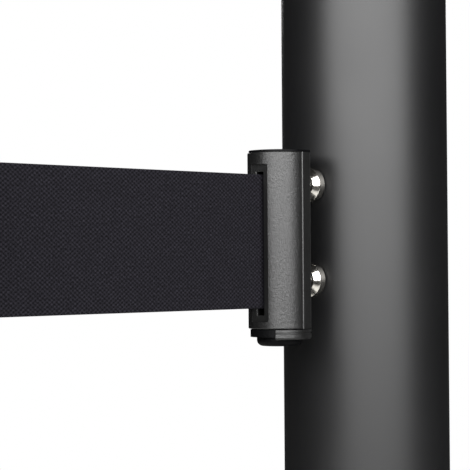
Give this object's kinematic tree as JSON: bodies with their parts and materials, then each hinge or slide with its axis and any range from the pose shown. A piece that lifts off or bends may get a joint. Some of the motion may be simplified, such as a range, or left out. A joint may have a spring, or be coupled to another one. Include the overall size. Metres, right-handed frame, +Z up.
{
  "type": "retractable belt stanchion",
  "caption": "Weighted queue post with a slotted receiver head, held by the magnetic end of a black retractable belt that winds into a wall-mounted retractor.",
  "frame": {"origin": "on the floor, under the middle of the post, at the underside of the base's rubber pad", "axes": "+Z up along the post; the belt runs from the post along -X to the wall retractor; +Y completes the right-handed frame"},
  "size_m": [0.462, 0.33, 0.9949],
  "materials": {
    "black_coat": "fine satin powder coat",
    "cast_iron": "rough cast, primed",
    "rubber": "moulded, matt",
    "zinc_steel": "zinc plated",
    "head_plastic": "moulded, fine texture",
    "end_plastic": "moulded glass-filled nylon, fine texture",
    "lock_plastic": "moulded acetal",
    "webbing": "woven polyester",
    "nickel": "bright nickel plate",
    "magnet": "sintered ferrite",
    "spring_steel": "blued strip",
    "bronze": "sintered bronze",
    "acetal": "natural acetal",
    "brake_lining": "moulded friction compound"
  },
  "bodies": {
    "root": {"floor_pad": "rubber", "base_weight": "cast_iron", "base_cover": "black_coat", "base_collar": "black_coat", "post_tube": "black_coat", "foot_plate": "zinc_steel", "base_washer": "zinc_steel", "lock_washer": "zinc_steel", "base_bolt": "zinc_steel", "head_body": "head_plastic", "head_cap": "head_plastic", "head_cap_screw": "zinc_steel", "belt_run": "webbing", "belt_lead": "webbing", "power_spring": "spring_steel", "spool_axle": "zinc_steel", "brake_drum": "zinc_steel", "case_body": "head_plastic", "case_lid": "head_plastic", "lid_screws": "zinc_steel", "wall_bracket": "black_coat", "bracket_screws": "zinc_steel", "mouth_bezel": "head_plastic", "roller_pins": "zinc_steel"},
    "belt_end": {"end_front": "end_plastic", "end_rear": "end_plastic", "end_screws": "zinc_steel", "end_top_cap": "lock_plastic", "belt_pin": "zinc_steel", "upper_magnet_cup": "nickel", "lower_magnet_cup": "nickel", "upper_magnet_core": "magnet", "lower_magnet_core": "magnet", "magnet_screws": "nickel", "magnet_washers": "nickel", "lock_screw": "zinc_steel", "belt_loop": "webbing"},
    "end_lock": {"lock_body": "lock_plastic", "lock_tab": "end_plastic"},
    "belt_spool": {"spool": "acetal", "spool_bushes": "bronze", "spring_cover": "zinc_steel", "belt_roll": "webbing", "brake_pins": "zinc_steel"},
    "front_shoe": {"brake_shoe_front": "brake_lining"},
    "rear_shoe": {"brake_shoe_rear": "brake_lining"},
    "left_roller": {"guide_roller_left": "acetal"},
    "right_roller": {"guide_roller_right": "acetal"}
  },
  "joints": [
    {"name": "belt_travel", "type": "slide", "parent": "root", "child": "belt_end", "axis": [-1, 0, 0], "range_m": [0, 0.14], "deforming": ["belt_run"]},
    {"name": "lock_turn", "type": "hinge", "parent": "belt_end", "child": "end_lock", "pos_m": [-0.0502, 0, 0.798], "axis": [0, 0, 1], "range_deg": [0, 60]},
    {"name": "spool_spin", "type": "hinge", "parent": "root", "child": "belt_spool", "pos_m": [-0.25, 0, 0.83], "axis": [0, 0, 1], "range_deg": [0, 380], "deforming": ["power_spring"]},
    {"name": "front_shoe_swing", "type": "hinge", "parent": "belt_spool", "child": "front_shoe", "pos_m": [-0.22956, 0.00744, 0.86], "axis": [0, 0, -1], "range_deg": [0, 3.4]},
    {"name": "rear_shoe_swing", "type": "hinge", "parent": "belt_spool", "child": "rear_shoe", "pos_m": [-0.27044, -0.00744, 0.86], "axis": [0, 0, -1], "range_deg": [0, 3.4]},
    {"name": "left_roller_spin", "type": "hinge", "parent": "root", "child": "left_roller", "pos_m": [-0.213, 0.00285, 0.83], "axis": [0, 0, -1], "range_deg": [0, 2950]},
    {"name": "right_roller_spin", "type": "hinge", "parent": "root", "child": "right_roller", "pos_m": [-0.213, -0.00285, 0.83], "axis": [0, 0, 1], "range_deg": [0, 2950]}
  ],
  "couplings": [
    {"joint": "spool_spin", "follows": "belt_travel", "rad_per_m": 45.377},
    {"joint": "left_roller_spin", "follows": "belt_travel", "rad_per_m": 350.88},
    {"joint": "right_roller_spin", "follows": "belt_travel", "rad_per_m": 350.88},
    {"joint": "rear_shoe_swing", "follows": "front_shoe_swing", "ratio": 1}
  ]
}
